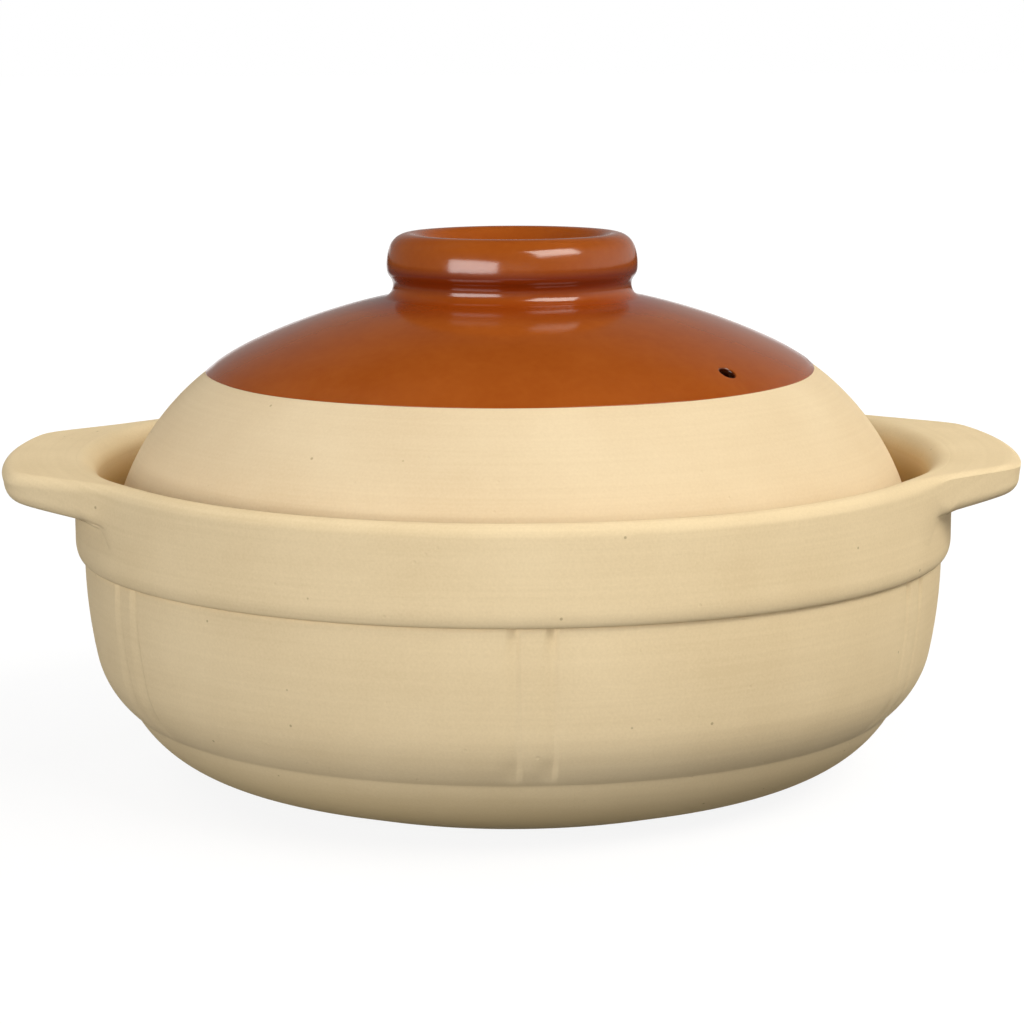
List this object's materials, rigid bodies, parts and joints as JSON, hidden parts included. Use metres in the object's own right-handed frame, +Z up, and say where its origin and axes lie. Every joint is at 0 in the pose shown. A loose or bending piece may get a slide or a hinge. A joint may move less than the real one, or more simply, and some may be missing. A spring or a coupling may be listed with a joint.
{
  "type": "clay cooking pot",
  "caption": "Round clay cooking pot with lug handles, a thick rim collar and a loose domed lid with a brown-glazed crown, ring knob and steam hole.",
  "frame": {"origin": "centre of the flat base, on the surface that the pot stands on", "axes": "+X through the right handle, +Z up along the pot's axis"},
  "size_m": [0.2784, 0.24, 0.1478],
  "materials": {
    "clay_pot": "bare fired clay, matte",
    "clay_lid": "bare fired clay, matte",
    "glaze_brown": "satin brown glaze",
    "glaze_lining": "glossy brown glaze"
  },
  "bodies": {
    "pot": {"bowl": "clay_pot", "inner_glaze": "glaze_lining", "rim_collar": "clay_pot", "left_handle": "clay_pot", "right_handle": "clay_pot"},
    "lid": {"lid_dome": "clay_lid", "lid_knob": "clay_lid", "lid_glaze": "glaze_brown"}
  },
  "joints": [
    {"name": "lid_lift", "type": "slide", "parent": "pot", "child": "lid", "axis": [0, 0, 1], "range_m": [0, 0.12]}
  ]
}
